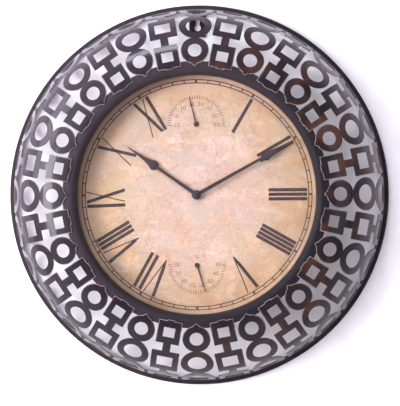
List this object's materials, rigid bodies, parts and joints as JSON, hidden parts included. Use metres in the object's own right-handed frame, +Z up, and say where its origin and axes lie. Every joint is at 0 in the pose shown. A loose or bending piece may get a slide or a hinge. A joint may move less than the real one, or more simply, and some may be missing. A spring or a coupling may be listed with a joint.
{
  "type": "open-work wall clock",
  "caption": "Round wall clock with a domed open-work rim of ring and square chains, spade hands, and a thermometer and a hygrometer in the dial.",
  "frame": {"origin": "seat of the wall screw in the keyhole slot of the hanger plate, on the wall plane", "axes": "+Z up, +Y into the wall, the dial faces -Y"},
  "size_m": [0.4572, 0.0809, 0.4572],
  "materials": {
    "rim_bronze": "dark bronze, brushed and hand-rubbed, with bare light edges",
    "hoop_black": "satin near-black",
    "hanger_black": "satin near-black",
    "bezel_black": "satin near-black",
    "pan_black": "satin black",
    "spacer_black": "matt",
    "gasket_rubber": "matt",
    "lens_glass": "clear",
    "dial_print": "mottled parchment print, matt",
    "hand_paint": "satin dark brown",
    "movement_plastic": "fine-grained",
    "brass": "turned",
    "steel": "bright",
    "cell_jacket": "shrink sleeve",
    "knob_plastic": "moulded",
    "can_aluminium": "spun",
    "coil_bimetal": "rolled strip"
  },
  "bodies": {
    "clock_frame": {"battery_contact_negative": "steel", "battery_contact_positive": "steel", "bezel_ring": "bezel_black", "bushing_nut": "brass", "bushing_washer": "gasket_rubber", "case_pan": "pan_black", "center_bushing": "brass", "circle_strip_01": "rim_bronze", "circle_strip_02": "rim_bronze", "circle_strip_03": "rim_bronze", "circle_strip_04": "rim_bronze", "circle_strip_05": "rim_bronze", "circle_strip_06": "rim_bronze", "circle_strip_07": "rim_bronze", "circle_strip_08": "rim_bronze", "circle_strip_09": "rim_bronze", "circle_strip_10": "rim_bronze", "circle_strip_11": "rim_bronze", "circle_strip_12": "rim_bronze", "circle_strip_13": "rim_bronze", "circle_strip_14": "rim_bronze", "circle_strip_15": "rim_bronze", "circle_strip_16": "rim_bronze", "dial_plate": "dial_print", "hanger_plate": "hanger_black", "hygrometer_can": "can_aluminium", "hygrometer_coil": "coil_bimetal", "lens_gasket": "gasket_rubber", "lens_glass": "lens_glass", "movement_housing": "movement_plastic", "outer_hoop": "hoop_black", "spacer_ring": "spacer_black", "square_strip_01": "rim_bronze", "square_strip_02": "rim_bronze", "square_strip_03": "rim_bronze", "square_strip_04": "rim_bronze", "square_strip_05": "rim_bronze", "square_strip_06": "rim_bronze", "square_strip_07": "rim_bronze", "square_strip_08": "rim_bronze", "square_strip_09": "rim_bronze", "square_strip_10": "rim_bronze", "square_strip_11": "rim_bronze", "square_strip_12": "rim_bronze", "square_strip_13": "rim_bronze", "square_strip_14": "rim_bronze", "square_strip_15": "rim_bronze", "square_strip_16": "rim_bronze", "thermometer_can": "can_aluminium", "thermometer_coil": "coil_bimetal"},
    "minute_arbor": {"minute_hand": "hand_paint", "minute_shaft": "steel", "hand_cap_nut": "hand_paint"},
    "hour_arbor": {"hour_hand": "hand_paint", "hour_tube": "brass"},
    "time_set": {"time_set_knob": "knob_plastic"},
    "thermometer_needle": {"thermometer_pointer": "hand_paint"},
    "hygrometer_needle": {"hygrometer_pointer": "hand_paint"},
    "cell": {"battery_cell": "cell_jacket"}
  },
  "joints": [
    {"name": "minute_turn", "type": "hinge", "parent": "clock_frame", "child": "minute_arbor", "pos_m": [0, -0.05, -0.21179], "axis": [0, 1, 0], "continuous": true},
    {"name": "hour_turn", "type": "hinge", "parent": "clock_frame", "child": "hour_arbor", "pos_m": [0, -0.05, -0.21179], "axis": [0, 1, 0], "continuous": true},
    {"name": "time_set_turn", "type": "hinge", "parent": "clock_frame", "child": "time_set", "pos_m": [0, -0.05, -0.19979], "axis": [0, 1, 0], "continuous": true},
    {"name": "thermometer_swing", "type": "hinge", "parent": "clock_frame", "child": "thermometer_needle", "pos_m": [0, -0.05, -0.12879], "axis": [0, 1, 0], "range_deg": [-90.6, 119.4], "stiffness_Nm_per_rad": 0.001},
    {"name": "hygrometer_swing", "type": "hinge", "parent": "clock_frame", "child": "hygrometer_needle", "pos_m": [0, -0.05, -0.29479], "axis": [0, 1, 0], "range_deg": [-88, 122], "stiffness_Nm_per_rad": 0.001},
    {"name": "cell_slide", "type": "slide", "parent": "clock_frame", "child": "cell", "axis": [0, 1, 0], "range_m": [0, 0.02]}
  ],
  "couplings": [
    {"joint": "hour_turn", "follows": "minute_turn", "ratio": 0.083333},
    {"joint": "time_set_turn", "follows": "minute_turn", "ratio": -0.33333}
  ]
}
